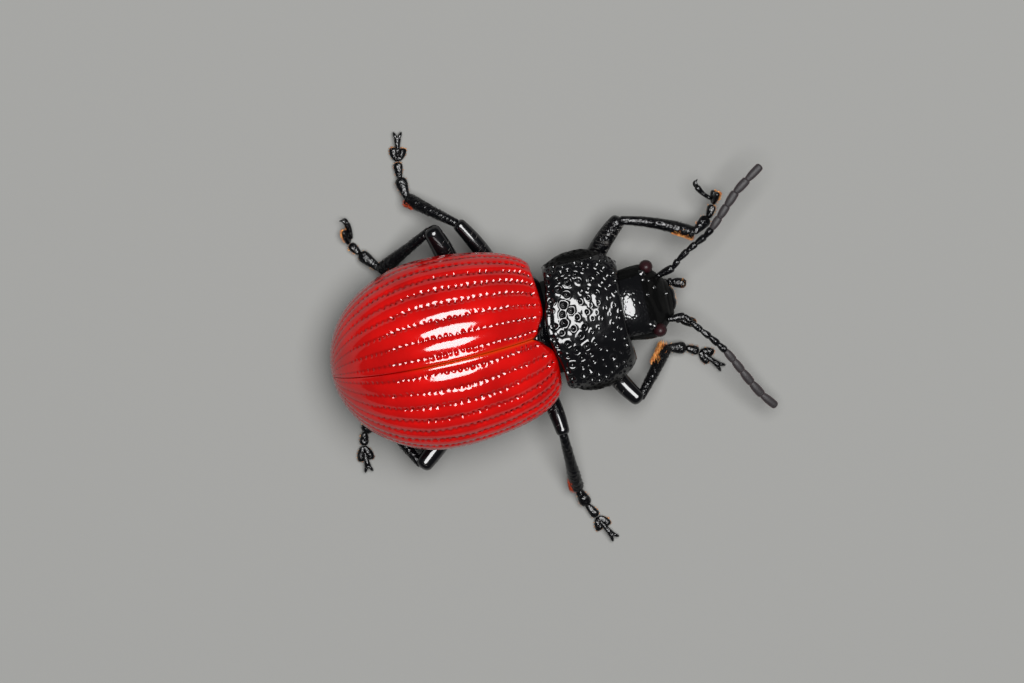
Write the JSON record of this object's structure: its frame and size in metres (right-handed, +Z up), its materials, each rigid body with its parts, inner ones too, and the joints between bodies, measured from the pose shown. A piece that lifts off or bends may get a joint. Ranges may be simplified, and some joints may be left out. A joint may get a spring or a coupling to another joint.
{
  "type": "leaf beetle (elytrosphaera xanthopyga)",
  "caption": "Still life-size leaf beetle in a walking pose: glossy red domed wing cases with rows of pits, black pitted pronotum, black head, feelers and legs.",
  "frame": {"origin": "bottom centre of the whole beetle's box, on the floor that its feet stand on", "axes": "+X towards the head, +Y to the beetle's left side, +Z up from the floor"},
  "size_m": [0.0194, 0.0192, 0.0065],
  "materials": {
    "elytra_red": "high gloss chitin, deep red",
    "cuticle_black": "high gloss chitin, black",
    "feeler_club": "black at the base, dull brown-grey down on the outer joints",
    "eye": "satin dark red-brown facets",
    "setae_orange": "dense orange bristles on shin tips and soles"
  },
  "bodies": {
    "root": {"elytron_left": "elytra_red", "elytron_right": "elytra_red", "scutellum": "cuticle_black", "hind_thorax": "cuticle_black", "abdomen": "cuticle_black", "prothorax": "cuticle_black", "head": "cuticle_black", "eye_left": "eye", "eye_right": "eye", "labrum": "cuticle_black", "mandible_left": "cuticle_black", "mandible_right": "cuticle_black", "palp_left": "cuticle_black", "palp_right": "cuticle_black", "antenna_left": "feeler_club", "antenna_right": "feeler_club", "femur_front_left": "cuticle_black", "tibia_front_left": "cuticle_black", "tarsus_front_left": "cuticle_black", "femur_front_right": "cuticle_black", "tibia_front_right": "cuticle_black", "tarsus_front_right": "cuticle_black", "femur_middle_left": "cuticle_black", "tibia_middle_left": "cuticle_black", "tarsus_middle_left": "cuticle_black", "femur_middle_right": "cuticle_black", "tibia_middle_right": "cuticle_black", "tarsus_middle_right": "cuticle_black", "femur_hind_left": "cuticle_black", "tibia_hind_left": "cuticle_black", "tarsus_hind_left": "cuticle_black", "femur_hind_right": "cuticle_black", "tibia_hind_right": "cuticle_black", "tarsus_hind_right": "cuticle_black"}
  },
  "joints": []
}
